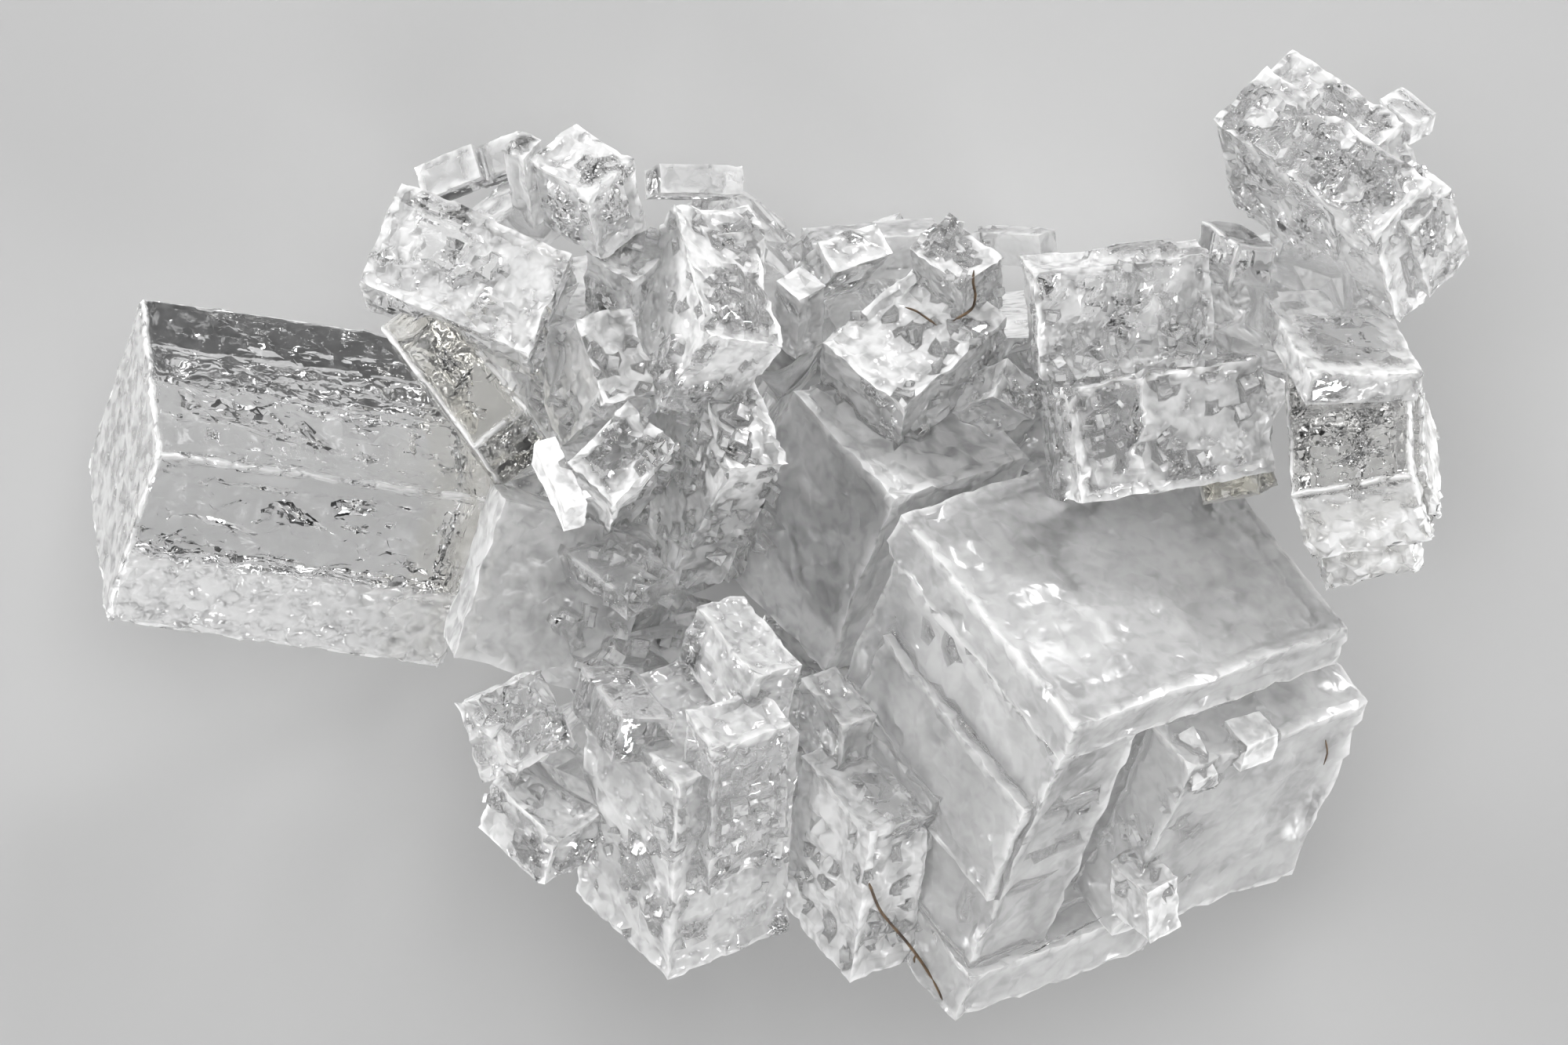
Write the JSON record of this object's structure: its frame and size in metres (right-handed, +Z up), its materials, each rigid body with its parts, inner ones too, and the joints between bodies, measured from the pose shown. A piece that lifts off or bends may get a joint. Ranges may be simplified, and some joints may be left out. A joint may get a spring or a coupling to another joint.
{
  "type": "halite crystal cluster",
  "caption": "Cluster of clear to milky cubic halite crystals, grown through each other into one solid piece of rock salt.",
  "frame": {"origin": "on the surface that the cluster lies on, under the middle of its bounding box", "axes": "+X along the cluster's longest way, +Y across it, +Z up out of its best face"},
  "size_m": [0.0102, 0.0072, 0.0048],
  "materials": {
    "salt": "clear to milky, frosted by growth steps"
  },
  "bodies": {
    "root": {"halite_cluster": "salt"}
  },
  "joints": []
}
